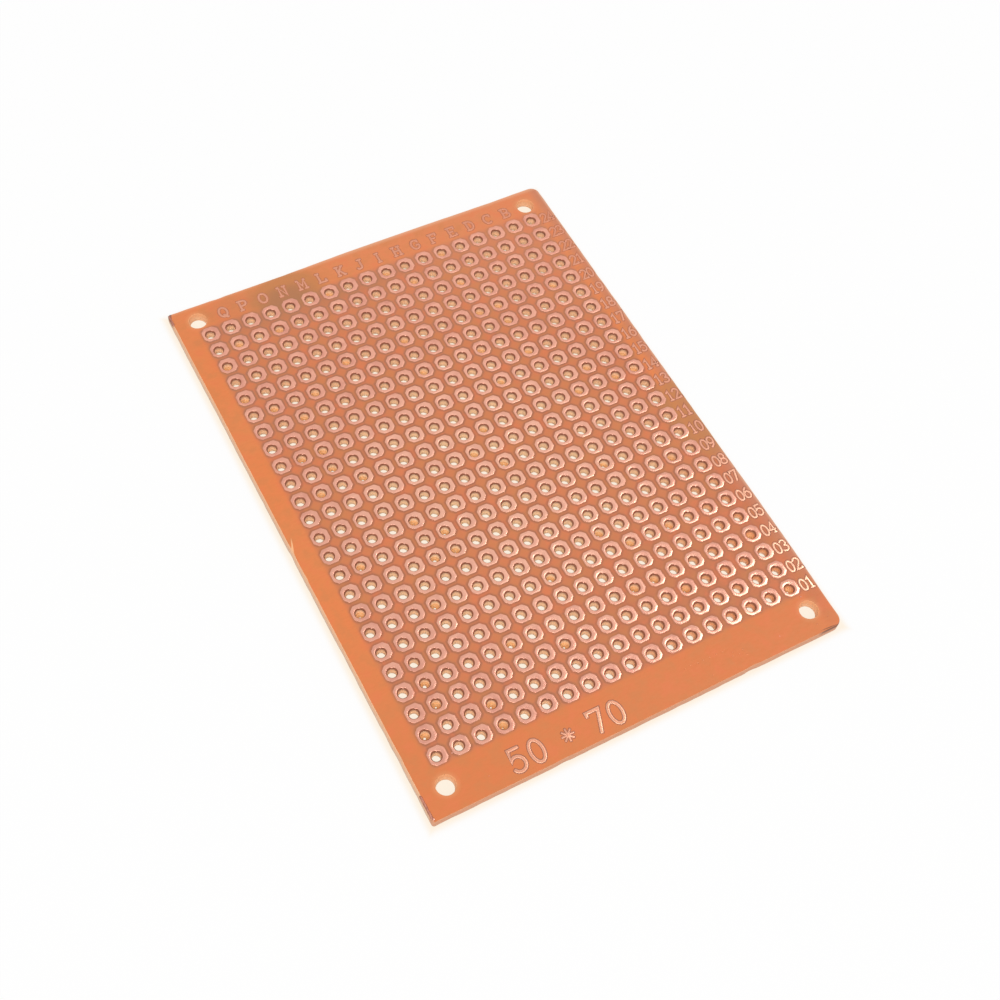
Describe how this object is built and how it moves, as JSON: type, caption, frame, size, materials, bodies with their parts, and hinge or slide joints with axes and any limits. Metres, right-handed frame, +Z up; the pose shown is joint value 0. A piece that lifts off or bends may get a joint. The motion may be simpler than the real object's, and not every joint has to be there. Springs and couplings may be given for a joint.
{
  "type": "prototype board",
  "caption": "Flat single-sided prototyping board: a punched phenolic-paper sheet with a square grid of separate eight-sided copper pads and a mounting hole near each corner.",
  "frame": {"origin": "centre of the board's outline, on its bare underside", "axes": "+X across the board towards column A, +Y along the board from row 01 to row 24, +Z up, out of the copper side"},
  "size_m": [0.05, 0.0694, 0.0012],
  "materials": {
    "phenolic": "satin phenolic-paper laminate, orange brown, faint mottling, paler sheared edges",
    "copper": "bare satin copper foil, pinkish, slightly brushed and drawn in round each hole"
  },
  "bodies": {
    "root": {"laminate": "phenolic", "pads_row_01": "copper", "pads_row_02": "copper", "pads_row_03": "copper", "pads_row_04": "copper", "pads_row_05": "copper", "pads_row_06": "copper", "pads_row_07": "copper", "pads_row_08": "copper", "pads_row_09": "copper", "pads_row_10": "copper", "pads_row_11": "copper", "pads_row_12": "copper", "pads_row_13": "copper", "pads_row_14": "copper", "pads_row_15": "copper", "pads_row_16": "copper", "pads_row_17": "copper", "pads_row_18": "copper", "pads_row_19": "copper", "pads_row_20": "copper", "pads_row_21": "copper", "pads_row_22": "copper", "pads_row_23": "copper", "pads_row_24": "copper", "panel_marks": "copper"}
  },
  "joints": []
}
